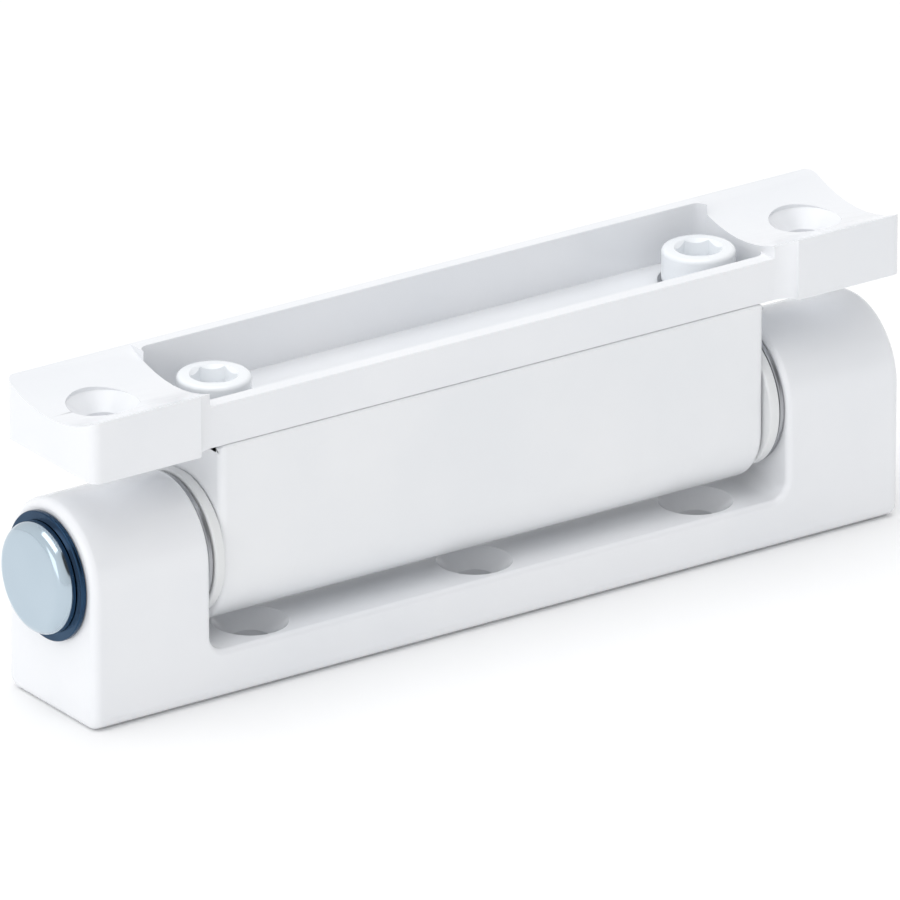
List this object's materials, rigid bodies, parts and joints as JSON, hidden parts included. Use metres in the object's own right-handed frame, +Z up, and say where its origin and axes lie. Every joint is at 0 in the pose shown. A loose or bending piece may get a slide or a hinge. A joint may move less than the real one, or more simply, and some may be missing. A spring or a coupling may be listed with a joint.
{
  "type": "barrel hinge",
  "caption": "Powder-coated barrel hinge: a U-shaped yoke holds a headed pin, and a deep knuckle on the pin carries a leaf with saddle-shaped ears and clamp screws.",
  "frame": {"origin": "middle of the assembly's footprint, on the yoke's foot; the pin head stands out at the left, so the yoke's own middle is 1.65 mm to the right", "axes": "+X along the pin from its head to its plain end, +Y to the back, +Z up from the yoke's foot to the leaf"},
  "size_m": [0.1334, 0.0206, 0.0438],
  "materials": {
    "powder_coat": "glossy white powder coat with a faint orange peel",
    "coated_steel": "glossy white coating over steel",
    "zinc_plate": "bright zinc plating with a pale blue passivation",
    "blued_zinc": "dark blue passivated steel",
    "spring_steel": "plain steel",
    "white_nylon": "satin moulded nylon"
  },
  "bodies": {
    "fixed": {"yoke": "powder_coat", "hinge_pin": "zinc_plate", "pin_head_washer": "blued_zinc", "retaining_ring": "spring_steel", "pin_end_plug": "white_nylon", "pin_lock_screw": "spring_steel", "left_cheek_sleeve": "white_nylon", "right_cheek_sleeve": "white_nylon", "left_thrust_washer": "spring_steel", "right_thrust_washer": "spring_steel"},
    "leaf": {"knuckle": "powder_coat", "leaf_frame": "powder_coat", "left_flanged_bush": "white_nylon", "right_flanged_bush": "white_nylon", "left_clamp_screw": "coated_steel", "right_clamp_screw": "coated_steel", "left_clamp_washer": "spring_steel", "right_clamp_washer": "spring_steel", "left_dowel": "spring_steel", "right_dowel": "spring_steel"}
  },
  "joints": [
    {"name": "leaf_swing", "type": "hinge", "parent": "fixed", "child": "leaf", "pos_m": [0, 0, 0.0192], "axis": [1, 0, 0], "range_deg": [-95, 95]}
  ]
}
